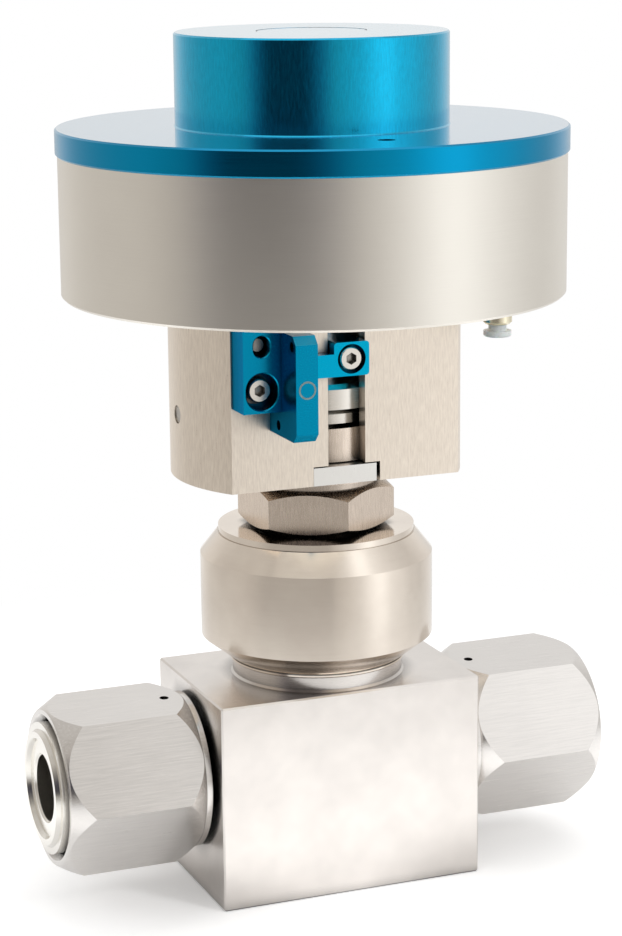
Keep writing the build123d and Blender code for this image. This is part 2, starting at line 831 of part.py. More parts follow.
# Actuator cylinder with its base, hub and rod pocket
with BuildPart() as cylinder:
    with BuildSketch(Plane.XZ):
        with BuildLine():
            Polyline(
                (rod_radius + clear, hub_bottom),
                (yoke_bore, hub_bottom),
                (yoke_bore, yoke_top),
                (cylinder_radius - cylinder_edge, yoke_top),
                (cylinder_radius, yoke_top + cylinder_edge),
                (cylinder_radius, cover_bottom),
                (cylinder_bore, cover_bottom),
                (cylinder_bore, base_top),
                (rod_bush_radius, base_top),
                (rod_bush_radius, rod_seal_bottom),
                (rod_radius + clear, rod_seal_bottom),
                close=True,
            )
        make_face()
    revolve(axis=Axis.Z)
    with BuildSketch(Plane.XY.offset(base_top)):
        with PolarLocations(yoke_screw_circle, 4, 0, 180, endpoint=True):
            Circle(big_head_radius + screw_clearance)
    extrude(amount=-big_recess_depth, mode=Mode.SUBTRACT)
    with BuildSketch(Plane.XY.offset(base_top)):
        with PolarLocations(yoke_screw_circle, 4, 0, 180, endpoint=True):
            Circle(big_screw_radius + screw_clearance)
        with Locations(port_place):
            Circle(fitting_thread)
    extrude(amount=-cylinder_base, mode=Mode.SUBTRACT)
save(cylinder, "cylinder")

big_seat = base_top - big_recess_depth
with BuildPart() as yoke_screws:
    with BuildSketch(Plane.XY.offset(big_seat)):
        with PolarLocations(yoke_screw_circle, 4, 0, 180, endpoint=True):
            Circle(big_head_radius)
    extrude(amount=big_head_height)
    with BuildSketch(Plane.XY.offset(big_seat + big_head_height)):
        with PolarLocations(yoke_screw_circle, 4, 0, 180, endpoint=True):
            RegularPolygon(big_screw_hex / 2, 6, major_radius=False)
    extrude(amount=-screw_hex_depth, mode=Mode.SUBTRACT)
    with BuildSketch(Plane.XY.offset(big_seat)):
        with PolarLocations(yoke_screw_circle, 4, 0, 180, endpoint=True):
            Circle(big_screw_radius)
    extrude(amount=-big_screw_reach)
save(yoke_screws, "yoke_screws")

rod_seal = ring(rod_bush_radius, rod_radius + running, rod_seal_bottom, rod_bush_bottom)
save(rod_seal, "rod_seal")

rod_bush = ring(rod_bush_radius, rod_radius + running, rod_bush_bottom, base_top)
save(rod_bush, "rod_bush")

# Piston with a guide band, a seal and a pocket for the springs
band_bottom = piston_bottom + band_margin
band_top = band_bottom + guide_band_height
seal_bottom = band_top + band_margin
seal_top = seal_bottom + seal_height
piston = turned(
    [
        (piston_bolt_radius, piston_bottom),
        (piston_radius, piston_bottom),
        (piston_radius, band_bottom),
        (piston_radius - guide_band_depth, band_bottom),
        (piston_radius - guide_band_depth, band_top),
        (piston_radius, band_top),
        (piston_radius, seal_bottom),
        (piston_radius - seal_depth, seal_bottom),
        (piston_radius - seal_depth, seal_top),
        (piston_radius, seal_top),
        (piston_radius, piston_top),
        (cap_inner, piston_top),
        (cap_inner, pocket_floor),
        (piston_bolt_radius, pocket_floor),
    ]
)
save(piston, "piston")

guide_band = ring(cylinder_bore - running, piston_radius - guide_band_depth, band_bottom, band_top)
save(guide_band, "guide_band")

piston_seal = ring(cylinder_bore - running, piston_radius - seal_depth, seal_bottom, seal_top)
save(piston_seal, "piston_seal")

with BuildPart() as piston_nut:
    with BuildSketch(Plane.XY.offset(pocket_floor)):
        RegularPolygon(piston_nut_flats / 2, 6, major_radius=False)
        Circle(piston_bolt_radius, mode=Mode.SUBTRACT)
    extrude(amount=piston_nut_height)
save(piston_nut, "piston_nut")


def closing_spring(radius, wire, turns):
    """A square-wire coil, ground flat where it meets the piston and the cap."""
    length = cap_ceiling - pocket_floor
    with BuildPart() as spring:
        with BuildLine(Plane.XY.offset(pocket_floor)) as coil:
            Helix(length / turns, length, radius)
        with BuildSketch(coil.line ^ 0):
            Rectangle(wire, wire)
        sweep(path=coil.line, is_frenet=True)
        split(bisect_by=Plane.XY.offset(pocket_floor), keep=Keep.TOP)
        split(bisect_by=Plane.XY.offset(cap_ceiling), keep=Keep.BOTTOM)
    return spring


outer_spring = closing_spring(outer_coil_radius, outer_coil_wire, outer_coil_turns)
save(outer_spring, "outer_spring")

inner_spring = closing_spring(inner_coil_radius, inner_coil_wire, inner_coil_turns)
save(inner_spring, "inner_spring")

# Cover, screwed into the cylinder; its spigot is the piston's upper stop
cover_seal_top = cover_bottom - cover_seal_drop
cover_seal_bottom = cover_seal_top - cover_seal_height
with BuildPart() as cover:
    with BuildSketch(Plane.XZ):
        with BuildLine():
            Polyline(
                (cover_opening, cover_spigot_bottom),
                (cylinder_bore, cover_spigot_bottom),
                (cylinder_bore, cover_seal_bottom),
                (cylinder_bore - cover_seal_depth, cover_seal_bottom),
                (cylinder_bore - cover_seal_depth, cover_seal_top),
                (cylinder_bore, cover_seal_top),
                (cylinder_bore, cover_bottom),
                (cover_radius - cover_edge, cover_bottom),
                (cover_radius, cover_bottom + cover_edge),
                (cover_radius, cover_top - cover_edge),
                (cover_radius - cover_edge, cover_top),
                (cover_opening, cover_top),
                close=True,
            )
        make_face()
    revolve(axis=Axis.Z)
    with BuildSketch(Plane.XY.offset(cover_top)):
        with PolarLocations(pin_hole_circle, 2, 90):
            Circle(pin_hole_radius)
    extrude(amount=-pin_hole_depth, mode=Mode.SUBTRACT)
save(cover, "cover")

cover_seal = ring(cylinder_bore, cylinder_bore - cover_seal_depth, cover_seal_bottom, cover_seal_top)
save(cover_seal, "cover_seal")

plug_seat = cap_top - plug_drop - plug_height
spring_cap = turned(
    [
        (cap_inner, cover_top - cap_spigot_height),
        (cover_opening, cover_top - cap_spigot_height),
        (cover_opening, cover_top),
        (cap_radius + cap_foot, cover_top),
        (cap_radius, cover_top + cap_foot),
        (cap_radius, cap_top - cap_edge),
        (cap_radius - cap_edge, cap_top),
        (plug_radius, cap_top),
        (plug_radius, plug_seat),
        (plug_shank_radius, plug_seat),
        (plug_shank_radius, cap_ceiling),
        (cap_inner, cap_ceiling),
    ]
)
save(spring_cap, "spring_cap")

cap_plug = turned(
    [
        (0, cap_ceiling),
        (plug_shank_radius, cap_ceiling),
        (plug_shank_radius, plug_seat),
        (plug_radius - plug_gap, plug_seat),
        (plug_radius - plug_gap, cap_top - plug_drop),
        (0, cap_top - plug_drop),
    ]
)
save(cap_plug, "cap_plug")

# Air fitting under the cylinder: brass body, washer and release collar
port_plane = Plane(origin=(*port_place, 0), x_dir=(1, 0, 0), z_dir=(0, -1, 0))
port_axis = Axis((*port_place, 0), (0, 0, 1))
fitting_top = yoke_top - fitting_washer_height
fitting_bottom = yoke_top - fitting_height
collar_top = fitting_bottom + collar_reach
socket_bottom = collar_top + collar_travel + screw_clearance
with BuildPart() as air_fitting:
    with BuildSketch(port_plane):
        with BuildLine():
            Polyline(
                (collar_neck_radius + 2 * running, fitting_bottom),
                (fitting_radius - fitting_edge, fitting_bottom),
                (fitting_radius, fitting_bottom + fitting_edge),
                (fitting_radius, fitting_top),
                (fitting_thread, fitting_top),
                (fitting_thread, yoke_top + fitting_thread_height),
                (fitting_passage, yoke_top + fitting_thread_height),
                (fitting_passage, socket_bottom + fitting_socket),
                (tube_radius, socket_bottom + fitting_socket),
                (tube_radius, socket_bottom),
                (collar_neck_radius + 2 * running, socket_bottom),
                close=True,
            )
        make_face()
    revolve(axis=port_axis)
    with BuildSketch(Plane(origin=(*port_place, fitting_top), z_dir=(0, 0, 1))):
        RegularPolygon(fitting_hexagon / 2, 6, major_radius=False)
        Circle(fitting_radius - slack, mode=Mode.SUBTRACT)
    extrude(amount=-fitting_hexagon_height)
save(air_fitting, "air_fitting")

with BuildPart() as fitting_washer:
    with BuildSketch(Plane(origin=(*port_place, fitting_top), z_dir=(0, 0, 1))):
        Circle(fitting_radius)
        Circle(fitting_thread, mode=Mode.SUBTRACT)
    extrude(amount=fitting_washer_height)
save(fitting_washer, "fitting_washer")

collar_flange_top = fitting_bottom - collar_exposed
collar_bottom = collar_flange_top - collar_flange_height
with BuildPart() as release_collar:
    with BuildSketch(port_plane):
        with BuildLine():
            Polyline(
                (collar_bore, collar_bottom),
                (collar_flange_radius - collar_edge, collar_bottom),
                (collar_flange_radius, collar_bottom + collar_edge),
                (collar_flange_radius, collar_flange_top),
                (collar_neck_radius, collar_flange_top),
                (collar_neck_radius, collar_top),
                (collar_bore, collar_top),
                close=True,
            )
        make_face()
    revolve(axis=port_axis)
save(release_collar, "release_collar")
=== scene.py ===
import math

import bmesh
import bpy
from mathutils import Matrix, Vector


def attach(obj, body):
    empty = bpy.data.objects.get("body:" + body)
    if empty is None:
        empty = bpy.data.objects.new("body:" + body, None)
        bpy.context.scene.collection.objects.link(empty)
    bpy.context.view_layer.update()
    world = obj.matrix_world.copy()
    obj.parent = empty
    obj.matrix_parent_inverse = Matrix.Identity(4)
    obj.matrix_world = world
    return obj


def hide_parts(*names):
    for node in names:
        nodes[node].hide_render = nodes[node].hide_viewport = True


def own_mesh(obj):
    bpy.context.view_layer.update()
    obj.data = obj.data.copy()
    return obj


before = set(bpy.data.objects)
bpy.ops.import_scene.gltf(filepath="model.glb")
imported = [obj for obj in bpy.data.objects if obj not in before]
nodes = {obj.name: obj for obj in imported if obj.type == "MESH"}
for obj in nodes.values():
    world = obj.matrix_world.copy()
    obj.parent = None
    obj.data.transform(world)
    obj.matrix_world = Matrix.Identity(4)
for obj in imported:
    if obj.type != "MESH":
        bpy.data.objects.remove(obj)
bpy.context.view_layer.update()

scene = bpy.context.scene
scene.view_settings.view_transform = "Standard"

FLOW_HEIGHT = 0.02905


# Camera, fitted to the photograph's edges
AZIMUTH = math.radians(-21.749)
ELEVATION = math.radians(12.828)
ROLL = math.radians(-0.546)
DISTANCE = 0.624355
TARGET = Vector((0, 0, 0.100799))
SHIFT = 0.001054
FRAME_HEIGHT = 936
FOCAL_PIXELS = 2576.38
SENSOR = 36

forward = Vector((
    -math.sin(AZIMUTH) * math.cos(ELEVATION),
    math.cos(AZIMUTH) * math.cos(ELEVATION),
    -math.sin(ELEVATION),
))
right = forward.cross(Vector((0, 0, 1))).normalized()
up = right.cross(forward)
camera_right = right * math.cos(ROLL) + up * math.sin(ROLL)
camera_up = up * math.cos(ROLL) - right * math.sin(ROLL)

camera_data = bpy.data.cameras.new("camera")
camera_data.lens = FOCAL_PIXELS / FRAME_HEIGHT * SENSOR
camera_data.sensor_width = SENSOR
camera = bpy.data.objects.new("camera", camera_data)
turn = Matrix((camera_right, camera_up, -forward)).transposed().to_4x4()
camera.matrix_world = Matrix.Translation(TARGET - forward * DISTANCE - right * SHIFT) @ turn
scene.collection.objects.link(camera)
scene.camera = camera

towards_camera = Vector((-forward.x, -forward.y, 0)).normalized()


def around(angle, distance, height):
    """A point at an angle to the right of the camera's side, seen from above."""
    a = math.radians(angle)
    side = towards_camera * math.cos(a) + right * math.sin(a)
    return side * distance + Vector((0, 0, height))


# Node helpers
class Tree:
    """Adds shader nodes and links them by socket."""

    def __init__(self, tree):
        self.tree = tree
        tree.nodes.clear()

    def add(self, kind, inputs=None, **settings):
        node = self.tree.nodes.new(kind)
        for name, value in settings.items():
            setattr(node, name, value)
        for name, value in (inputs or {}).items():
            self.put(node.inputs[name], value)
        return node

    def put(self, socket, value):
        if isinstance(value, bpy.types.NodeSocket):
            self.tree.links.new(value, socket)
        else:
            socket.default_value = value

    def math(self, operation, a, b=0.0):
        node = self.add("ShaderNodeMath", {0: a, 1: b}, operation=operation)
        return node.outputs[0]

    def vector_math(self, operation, a, b=None):
        node = self.add("ShaderNodeVectorMath", {0: a}, operation=operation)
        if b is not None:
            self.put(node.inputs[1], b)
        return node.outputs["Value"] if operation == "LENGTH" else node.outputs[0]

    def noise(self, vector, roughness):
        inputs = {"Vector": vector, "Scale": 1.0, "Detail": 3.0, "Roughness": roughness}
        return self.add("ShaderNodeTexNoise", inputs).outputs["Fac"]

    def range(self, value, low, high, to_low, to_high):
        inputs = {"Value": value, "From Min": low, "From Max": high, "To Min": to_low, "To Max": to_high}
        return self.add("ShaderNodeMapRange", inputs).outputs["Result"]

    def mix(self, factor, a, b):
        """Mixes colours, whose sockets stand at 6, 7 and 2 in the node."""
        node = self.add("ShaderNodeMix", data_type="RGBA")
        self.put(node.inputs[0], factor)
        self.put(node.inputs[6], a)
        self.put(node.inputs[7], b)
        return node.outputs[2]

    def bump(self, height, strength, distance):
        inputs = {"Height": height, "Strength": strength, "Distance": distance}
        return self.add("ShaderNodeBump", inputs).outputs["Normal"]

    def seen_rays(self):
        """The light path's outputs, and 1 for rays of the camera, of gloss and of transmission."""
        path = self.add("ShaderNodeLightPath").outputs
        mirrored = self.math("MAXIMUM", path["Is Glossy Ray"], path["Is Transmission Ray"])
        return path, self.math("MAXIMUM", path["Is Camera Ray"], mirrored)


def colour(r, g, b):
    return (r, g, b, 1.0)


UPRIGHT_TO_UPWARD = (0.6, 0.95)
# Painted shade in gaps: the openness over which it fades out, and the rays that sample it
CLOSED_TO_OPEN = (0.15, 0.75)
OPENNESS_SAMPLES = 8


def rising(tree, low, high):
    """A value that goes from low on upright faces to high on faces that look up."""
    normal = tree.add("ShaderNodeNewGeometry").outputs["Normal"]
    split = tree.add("ShaderNodeSeparateXYZ", {0: normal}).outputs
    return tree.range(split[2], *UPRIGHT_TO_UPWARD, low, high)


def painted_gap_shade(tree, reach, least):
    """A value that falls to least in sockets, slots and narrow gaps, where less light gets in; it darkens
    colours as painted shade.
    """
    openness = tree.add("ShaderNodeAmbientOcclusion", {"Distance": reach}, samples=OPENNESS_SAMPLES)
    return tree.range(openness.outputs["AO"], *CLOSED_TO_OPEN, least, 1.0)


def material(name):
    mat = bpy.data.materials.new(name)
    mat.use_nodes = True
    tree = Tree(mat.node_tree)
    shader = tree.add("ShaderNodeBsdfPrincipled")
    output = tree.add("ShaderNodeOutputMaterial")
    tree.put(output.inputs["Surface"], shader.outputs[0])
    return mat, tree, shader


def straight_place(tree, stretch):
    """Object coordinates in millimetres, squeezed along the grain."""
    place = tree.add("ShaderNodeTexCoord").outputs["Object"]
    scaled = [1000 * s for s in stretch]
    return tree.vector_math("MULTIPLY", place, scaled)


def turned_place(tree, across, along_angle, centre=(0, 0, 0), axis="Z"):
    """Coordinates that run with turning marks about an axis: fine across, long around."""
    place = tree.add("ShaderNodeTexCoord").outputs["Object"]
    place = tree.vector_math("SUBTRACT", place, centre)
    split = tree.add("ShaderNodeSeparateXYZ", {0: place}).outputs
    first, second, axial = (split[0], split[1], split[2]) if axis == "Z" else (split[1], split[2], split[0])
    flat = tree.add("ShaderNodeCombineXYZ", {0: first, 1: second}).outputs[0]
    radius = tree.vector_math("LENGTH", flat)
    unit = tree.vector_math("NORMALIZE", flat)
    around_part = tree.vector_math("SCALE", unit)
    around_part.node.inputs["Scale"].default_value = along_angle
    depth = tree.math("MULTIPLY", tree.math("ADD", radius, axial), 1000 * across)
    lift = tree.add("ShaderNodeCombineXYZ", {2: depth}).outputs[0]
    return tree.vector_math("ADD", around_part, lift)


CLOUDS_PER_MM = 0.09
TONE_RANGE = (0.3, 0.7)
ROUGH_RANGE = (0.25, 0.75)
TONE_STEP = 0.2
COAT_IOR = 1.6
COAT_ROUGHNESS = 0.12


def metal(name, base, roughness, place, grain, depth, spread, cloud,
          least_coat=None, reach=0.0, least=0.0, **sockets):
    """A metal whose colour, roughness and relief follow a grain and a faint cloudiness; where reach is
    given, painted shade darkens its colour in sockets, slots and gaps.
    """
    mat, tree, shader = material(name)
    lines = tree.noise(place(tree), 0.6)
    clouds = tree.noise(straight_place(tree, (CLOUDS_PER_MM,) * 3), 0.55)
    tone = tree.math("ADD", tree.range(lines, *TONE_RANGE, -grain / 2, grain / 2),
                     tree.range(clouds, *TONE_RANGE, -cloud / 2, cloud / 2))
    dark = colour(*[c * (1 - TONE_STEP) for c in base])
    light = colour(*[min(1, c * (1 + TONE_STEP)) for c in base])
    tint = tree.mix(tree.math("ADD", tone, 0.5), dark, light)
    # Painted shade: the colour darkens towards black in sockets, slots and narrow gaps
    if reach:
        tint = tree.mix(painted_gap_shade(tree, reach, least), colour(0, 0, 0), tint)
    tree.put(shader.inputs["Base Color"], tint)
    shader.inputs["Metallic"].default_value = 1.0
    rough = tree.range(lines, *ROUGH_RANGE, roughness - spread, roughness + spread)
    tree.put(shader.inputs["Roughness"], rough)
    tree.put(shader.inputs["Normal"], tree.bump(lines, 0.5, depth))
    for socket, value in sockets.items():
        shader.inputs[socket.replace("_", " ")].default_value = value
    if least_coat is not None:
        tree.put(shader.inputs["Coat Weight"], rising(tree, least_coat, 1.0))
        shader.inputs["Coat IOR"].default_value = COAT_IOR
        shader.inputs["Coat Roughness"].default_value = COAT_ROUGHNESS
    return mat


def upright(across, along):
    return lambda tree: straight_place(tree, (across, across, along))


def lengthwise(across, along):
    return lambda tree: straight_place(tree, (along, across, across))


def turned(across, around_value, centre=(0, 0, 0), axis="Z"):
    return lambda tree: turned_place(tree, across, around_value, centre, axis)


def speckled(scale):
    return lambda tree: straight_place(tree, (scale, scale, scale))


FLOW = (0, 0, FLOW_HEIGHT)
STEEL = (0.86, 0.82, 0.77)
WARM = (0.88, 0.82, 0.755)
BLUE = (0.0, 0.43, 0.70)
DEEP_BLUE = (0.0, 0.29, 0.54)
EDGE_BLUE = colour(0.05, 0.50, 0.80)

# reach and least give each metal its painted shade in gaps: how far it feels for crowding faces, and how
# dark it goes
looks = {
    "body_block": metal("ground_steel", (0.79, 0.75, 0.715), 0.24, speckled(1.4), grain=0.03,
        depth=0.000001, spread=0.03, cloud=0.24, reach=0.006, least=0.2),
    "inlet_gland": metal("gland_steel", STEEL, 0.18, turned(9, 1, FLOW, "X"), grain=0.10,
        depth=0.000008, spread=0.05, cloud=0.05, reach=0.004, least=0.25),
    "nut": metal("nut_steel", (0.78, 0.755, 0.73), 0.22, lengthwise(2.8, 0.12), grain=0.26,
        depth=0.000014, spread=0.07, cloud=0.08, reach=0.004, least=0.2),
    "bonnet": metal("bonnet_steel", (0.88, 0.77, 0.68), 0.14, turned(7, 2), grain=0.05,
        depth=0.000002, spread=0.02, cloud=0.26, reach=0.003, least=0.2),
    "housing": metal("housing_steel", (0.82, 0.71, 0.61), 0.26, upright(2.8, 0.25), grain=0.55,
        depth=0.000018, spread=0.07, cloud=0.06, reach=0.006, least=0.15),
    "key": metal("key_steel", (0.85, 0.83, 0.80), 0.30, upright(4, 0.4), grain=0.08,
        depth=0.000006, spread=0.04, cloud=0.05, reach=0.002, least=0.2),
    "coupling": metal("coupling_steel", (0.84, 0.80, 0.74), 0.24, turned(10, 2), grain=0.16,
        depth=0.000010, spread=0.06, cloud=0.05, reach=0.004, least=0.2),
    "bright": metal("bright_steel", (0.80, 0.80, 0.80), 0.16, turned(8, 3), grain=0.06,
        depth=0.000004, spread=0.03, cloud=0.04),
    "screw": metal("screw_steel", (0.82, 0.78, 0.72), 0.20, speckled(5), grain=0.10,
        depth=0.000006, spread=0.05, cloud=0.05, reach=0.005, least=0.03),
    "spring": metal("spring_steel", (0.55, 0.55, 0.56), 0.30, speckled(4), grain=0.10,
        depth=0.000006, spread=0.05, cloud=0.05),
    "sintered": metal("sintered_steel", (0.62, 0.60, 0.57), 0.50, speckled(9), grain=0.30,
        depth=0.000030, spread=0.08, cloud=0.05),
    "yoke": metal("yoke_alloy", (0.86, 0.76, 0.66), 0.34, upright(2.4, 0.32), grain=0.55,
        depth=0.000022, spread=0.08, cloud=0.04, reach=0.006, least=0.15),
    "cylinder": metal("cylinder_alloy", WARM, 0.36, turned(6, 5), grain=0.06, depth=0.000006,
        spread=0.03, cloud=0.05, reach=0.004, least=0.3),
    "piston": metal("piston_alloy", (0.80, 0.80, 0.79), 0.28, turned(6, 3), grain=0.10,
        depth=0.000008, spread=0.05, cloud=0.05),
    "cap": metal("cap_blue", BLUE, 0.17, upright(2.6, 0.45), grain=0.50, depth=0.000014,
        spread=0.05, cloud=0.03, least_coat=0.22),
    "cover": metal("cover_blue", DEEP_BLUE, 0.20, turned(6, 3), grain=0.10, depth=0.000004,
        spread=0.04, cloud=0.03, least_coat=0.06),
    # The bracket's blue is set darker than the arm's, painting in the shade that the cylinder casts on it
    "bracket": metal("bracket_blue", (0.0, 0.29, 0.50), 0.26, speckled(6), grain=0.05,
        depth=0.000004, spread=0.03, cloud=0.04, least_coat=0.04, reach=0.003, least=0.15,
        Specular_Tint=EDGE_BLUE),
    "arm": metal("arm_blue", (0.0, 0.42, 0.68), 0.28, speckled(6), grain=0.05, depth=0.000004,
        spread=0.03, cloud=0.04, least_coat=0.04, reach=0.003, least=0.15,
        Specular_Tint=EDGE_BLUE),
    "brass": metal("pale_brass", (0.98, 0.83, 0.64), 0.22, turned(8, 2), grain=0.08,
        depth=0.000006, spread=0.05, cloud=0.05),
    "bronze": metal("bronze", (0.62, 0.45, 0.25), 0.40, speckled(6), grain=0.16, depth=0.000010,
        spread=0.06, cloud=0.08),
}


SPOTS_PER_MM = 3.0
SPOT_TONE = 0.9
SPOT_ROUGHNESS = 0.05
SPOT_DEPTH = 0.00001


def plain(name, base, roughness, **sockets):
    """A plastic or rubber with a faint speckle and a slight relief."""
    mat, tree, shader = material(name)
    spots = tree.noise(straight_place(tree, (SPOTS_PER_MM,) * 3), 0.5)
    dark = colour(*[c * SPOT_TONE for c in base])
    rough = tree.range(spots, *TONE_RANGE, roughness - SPOT_ROUGHNESS, roughness + SPOT_ROUGHNESS)
    tree.put(shader.inputs["Base Color"], tree.mix(spots, dark, colour(*base)))
    tree.put(shader.inputs["Roughness"], rough)
    tree.put(shader.inputs["Normal"], tree.bump(spots, 0.3, SPOT_DEPTH))
    for socket, value in sockets.items():
        shader.inputs[socket.replace("_", " ")].default_value = value
    return mat


looks["collar"] = plain("milky_plastic", (0.90, 0.90, 0.88), 0.30, Subsurface_Weight=0.3)
looks["polymer"] = plain("white_polymer", (0.88, 0.87, 0.83), 0.45)
looks["rubber"] = plain("black_rubber", (0.03, 0.03, 0.03), 0.50)

look_of = {
    "body_block": "body_block",
    "inlet_gland": "inlet_gland", "outlet_gland": "inlet_gland",
    "inlet_union_nut": "nut", "outlet_union_nut": "nut",
    "bonnet": "bonnet", "stem_housing": "housing", "gland_nut": "coupling",
    "locking_key": "key", "yoke": "yoke", "stem_coupling": "coupling", "piston_rod": "coupling",
    "indicator_arm": "arm", "indicator_bracket": "bracket",
    "arm_screw": "screw", "bracket_screw": "screw", "bracket_washer": "screw", "guide_pin": "screw",
    "yoke_screws": "screw", "piston_nut": "screw",
    "cylinder": "cylinder", "cover": "cover", "spring_cap": "cap", "cap_plug": "cap",
    "piston": "piston", "valve_stem": "bright", "valve_disc": "bright", "bellows": "bright",
    "bellows_flange": "bright", "body_gasket": "bright",
    "outer_spring": "spring", "inner_spring": "spring",
    "vent_plug": "sintered", "air_fitting": "brass", "stem_bush": "bronze", "rod_bush": "bronze",
    "release_collar": "collar", "seat_ring": "polymer", "guide_band": "polymer",
    "stem_packing": "rubber", "rod_seal": "rubber", "piston_seal": "rubber", "cover_seal": "rubber",
    "fitting_washer": "rubber",
}
for name, piece in nodes.items():
    piece.data.materials.clear()
    piece.data.materials.append(looks[look_of[name]])


def shortening(name):
    """Stands for a node that changes length: a copy of its mesh riding the valve body, with the node
    hidden.
    """
    node = nodes[name]
    live = bpy.data.objects.new(name + "_live", node.data.copy())
    live.matrix_world = node.matrix_world
    scene.collection.objects.link(live)
    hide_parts(name)
    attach(live, "valve_body")
    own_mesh(live)


for name in ("bellows", "outer_spring", "inner_spring"):
    shortening(name)


# The ring printed on the indicator blade's front
MARK_CENTRE = Vector((-0.01644, -0.03675, 0.1278))
MARK_RADII = (0.0021, 0.00168)
MARK_PROUD = 0.00003
MARK_STEPS = 48


def ring_mark():
    """A flat ring just proud of the blade, closed all round."""
    build = bmesh.new()
    loops = []
    for radius, back in zip((*MARK_RADII, MARK_RADII[1], MARK_RADII[0]), (0, 0, 1, 1)):
        loops.append([build.verts.new(MARK_CENTRE + Vector((
            radius * math.cos(2 * math.pi * i / MARK_STEPS), MARK_PROUD * (2 * back - 1),
            radius * math.sin(2 * math.pi * i / MARK_STEPS)))) for i in range(MARK_STEPS)])
    for a, b in zip(loops, loops[1:] + loops[:1]):
        for i in range(MARK_STEPS):
            j = (i + 1) % MARK_STEPS
            build.faces.new((a[i], a[j], b[j], b[i]))
    bmesh.ops.recalc_face_normals(build, faces=build.faces)
    mesh = bpy.data.meshes.new("ring_mark")
    build.to_mesh(mesh)
    build.free()
    mark = bpy.data.objects.new("ring_mark", mesh)
    scene.collection.objects.link(mark)
    mark.data.materials.append(plain("mark_ink", (0.24, 0.32, 0.32), 0.4))
    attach(mark, "valve_body")


ring_mark()


# Floor
def flat_mesh(name, corners):
    mesh = bpy.data.meshes.new(name)
    mesh.from_pydata(corners, [], [tuple(range(len(corners)))])
    thing = bpy.data.objects.new(name, mesh)
    scene.collection.objects.link(thing)
    return thing


# A painted shadow lies round the nuts: the floor's glow is weaker there, to the eye and in reflections. Two
# distances in metres, then the glow or the fade at each.
PAINTED_SHADOW_MIDDLE = (0.055, 0.005, 0.0)
GLOW_TO_EYE = (0.020, 0.050, 0.18, 0.42)
GLOW_MIRRORED = (0.035, 0.055, 0.0, 0.45)
FADE_TO_WHITE = (0.06, 0.26, 0.0, 1.0)
# Beyond the fade the floor glows dimmer in reflections than to the eye: a painted reflection
FAR_MIRRORED = 0.74
FLOOR_COLOUR = (0.92, 0.915, 0.91)
FLOOR_HALF = 6

floor = flat_mesh("floor", [
    (FLOOR_HALF * x, FLOOR_HALF * y, 0) for x, y in ((-1, -1), (1, -1), (1, 1), (-1, 1))])
floor_paint = bpy.data.materials.new("floor_paint")
floor_paint.use_nodes = True
tree = Tree(floor_paint.node_tree)
path, seen = tree.seen_rays()
matt = tree.add("ShaderNodeBsdfDiffuse", {"Color": colour(*FLOOR_COLOUR)})
floor_place = tree.add("ShaderNodeTexCoord").outputs["Object"]
away = tree.vector_math("LENGTH", floor_place)
mirror_place = tree.vector_math("ABSOLUTE", floor_place)
from_nuts = tree.vector_math("LENGTH", tree.vector_math("SUBTRACT", mirror_place, PAINTED_SHADOW_MIDDLE))
eye = path["Is Camera Ray"]
near = tree.math("MULTIPLY", eye, tree.range(from_nuts, *GLOW_TO_EYE))
reflected = tree.math("SUBTRACT", seen, eye)
mirrored = tree.math("MULTIPLY", reflected, tree.range(from_nuts, *GLOW_MIRRORED))
lift = tree.math("ADD", near, mirrored)
white = tree.add("ShaderNodeEmission", {"Color": colour(1, 1, 1), "Strength": lift})
both = tree.add("ShaderNodeAddShader", {0: matt.outputs[0], 1: white.outputs[0]})
distant = tree.math("MULTIPLY", seen, tree.range(eye, 0, 1, FAR_MIRRORED, 1.0))
far = tree.add("ShaderNodeEmission", {"Color": colour(1, 1, 1), "Strength": distant})
fade = tree.range(away, *FADE_TO_WHITE)
mixed = tree.add("ShaderNodeMixShader", {0: fade, 1: both.outputs[0], 2: far.outputs[0]})
tree.add("ShaderNodeOutputMaterial", {"Surface": mixed.outputs[0]})
floor.data.materials.append(floor_paint)


# World: white to the eye and in reflections, softer on matt surfaces
WORLD_ON_MATT = 0.80

world = bpy.data.worlds.new("studio")
scene.world = world
world.use_nodes = True
tree = Tree(world.node_tree)
seen = tree.seen_rays()[1]
strength = tree.range(seen, 0, 1, WORLD_ON_MATT, 1.0)
sky = tree.add("ShaderNodeBackground", {"Color": colour(1, 1, 1), "Strength": strength})
tree.add("ShaderNodeOutputWorld", {"Surface": sky.outputs[0]})


# Studio walls, glowing panels seen only in reflections, which paint the reflections and highlights on the
# object: grey to the left, dark round the camera, a bright strip and pale to the right.
# Angle to the right of the camera's side, shade, warmth.
SHADES = [(-180, 1.00, 0.2), (-155, 0.92, 0.4), (-125, 0.66, 0.7), (-105, 0.60, 0.8), (-75, 0.60, 0.9),
          (-62, 0.52, 1.0), (-54, 0.44, 1.0), (-46, 0.22, 1.0), (-36, 0.05, 1.0), (-12, 0.03, 1.0),
          (-2, 0.07, 1.0), (8, 0.25, 1.0), (18, 0.52, 0.9), (28, 0.66, 0.7), (40, 0.80, 0.4),
          (48, 1.00, 0.2), (58, 1.25, 0.0), (66, 1.25, 0.0), (76, 0.98, 0.1), (88, 0.88, 0.2),
          (101, 0.74, 0.3), (120, 0.66, 0.4), (143, 0.85, 0.3), (157, 0.95, 0.2), (180, 1.00, 0.2)]
# Warmth, and a blue in the dark of the upper rings, tint these painted reflections
WARMTH = Vector((0.0, 0.055, 0.12))
DARK_BLUE = Vector((-0.12, -0.12, 0.3))
COOL_RINGS_BELOW = 0.1
COOL_BELOW = 0.5
DARK_ANGLES = (-60, 20)
BACK_ANGLE = 140
BACK_FADE = 20
PANEL_STEP = 3

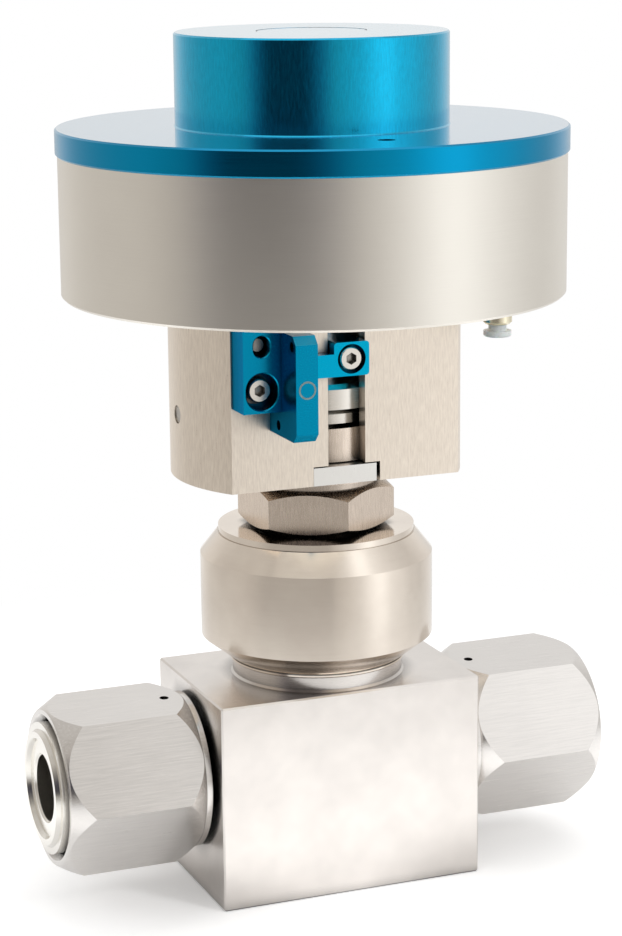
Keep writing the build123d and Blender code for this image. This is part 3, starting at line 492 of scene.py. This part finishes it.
# Rings of the walls: radius, height, cover, least shade round the camera, share of the shade behind
RINGS = [(0.16, 0.001, 0.0, 0.50, 0.9), (0.30, 0.001, 0.9, 0.40, 0.9), (0.45, 0.001, 1.0, 0.50, 1.0),
         (0.70, 0.001, 1.0, 0.42, 1.0), (0.76, 0.020, 1.0, 0.14, 0.8), (0.82, 0.100, 1.0, 0.04, 0.8),
         (0.86, 0.280, 1.0, 0.07, 0.90), (0.90, 0.480, 1.0, 0.20, 0.92), (0.85, 0.900, 1.0, 0.60, 0.70),
         (0.60, 1.200, 0.8, 0.60, 0.65)]


def shade_at(angle, least, behind):
    """The colour of the walls at an angle, in a ring with its own dark and its own back."""
    for (a, s, v), (b, t, w) in zip(SHADES, SHADES[1:]):
        if a <= angle <= b:
            part = (angle - a) / (b - a)
            shade = s + (t - s) * part
            warm = v + (w - v) * part
            break
    if DARK_ANGLES[0] < angle < DARK_ANGLES[1]:
        shade = max(shade, least)
    back = min(1, max(0, (abs(angle) - BACK_ANGLE) / BACK_FADE))
    shade *= 1 - back * (1 - behind)
    cool = max(0, 1 - shade / COOL_BELOW) if least < COOL_RINGS_BELOW else 0
    return [shade * (1 - warm * tint) * (1 + cool * blue) for tint, blue in zip(WARMTH, DARK_BLUE)]


def studio_bowl():
    """Panels all round, from the floor up, with a shade at each corner and an edge that fades out."""
    mesh = bpy.data.meshes.new("studio_walls")
    build = bmesh.new()
    layer = build.loops.layers.float_color.new("shade")
    angles = range(-180, 181, PANEL_STEP)
    grid = [[build.verts.new(around(a, ring[0], ring[1])) for ring in RINGS] for a in angles]
    for i in range(len(grid) - 1):
        for j in range(len(RINGS) - 1):
            corners = ((i, j), (i + 1, j), (i + 1, j + 1), (i, j + 1))
            face = build.faces.new([grid[u][v] for u, v in corners])
            for loop, (u, v) in zip(face.loops, corners):
                cover, least, behind = RINGS[v][2:]
                loop[layer] = (*shade_at(angles[u], least, behind), cover)
    build.to_mesh(mesh)
    build.free()
    thing = bpy.data.objects.new("studio_walls", mesh)
    scene.collection.objects.link(thing)
    return thing


walls = studio_bowl()
wall_paint = bpy.data.materials.new("wall_paint")
wall_paint.use_nodes = True
tree = Tree(wall_paint.node_tree)
shade = tree.add("ShaderNodeAttribute", attribute_name="shade").outputs
glow = tree.add("ShaderNodeEmission", {"Color": shade["Color"], "Strength": 1.0})
clear = tree.add("ShaderNodeBsdfTransparent")
mixed = tree.add("ShaderNodeMixShader", {0: shade["Alpha"], 1: clear.outputs[0], 2: glow.outputs[0]})
tree.add("ShaderNodeOutputMaterial", {"Surface": mixed.outputs[0]})
walls.data.materials.append(wall_paint)
# The walls are hidden from the eye, from matt surfaces and from shadows: their glow is painted reflection
# on gloss only
walls.visible_camera = False
walls.visible_diffuse = False
walls.visible_shadow = False


# Lamps
LAMP_AIM = Vector((0, 0, 0.1))


def area_lamp(name, angle, distance, height, width, tall, power):
    data = bpy.data.lights.new(name, "AREA")
    data.shape = "RECTANGLE"
    data.size, data.size_y = width, tall
    data.energy = power
    lamp = bpy.data.objects.new(name, data)
    place = around(angle, distance, height)
    turn = (place - LAMP_AIM).to_track_quat("Z", "Y").to_matrix().to_4x4()
    lamp.matrix_world = Matrix.Translation(place) @ turn
    lamp.visible_camera = False
    lamp.visible_glossy = False
    scene.collection.objects.link(lamp)


area_lamp("key_strip", angle=54, distance=0.62, height=0.25, width=0.10, tall=0.5, power=1.6)
area_lamp("left_box", angle=-95, distance=0.62, height=0.35, width=0.4, tall=0.5, power=0.8)
area_lamp("top_box", angle=160, distance=0.25, height=0.85, width=0.9, tall=0.9, power=2.4)
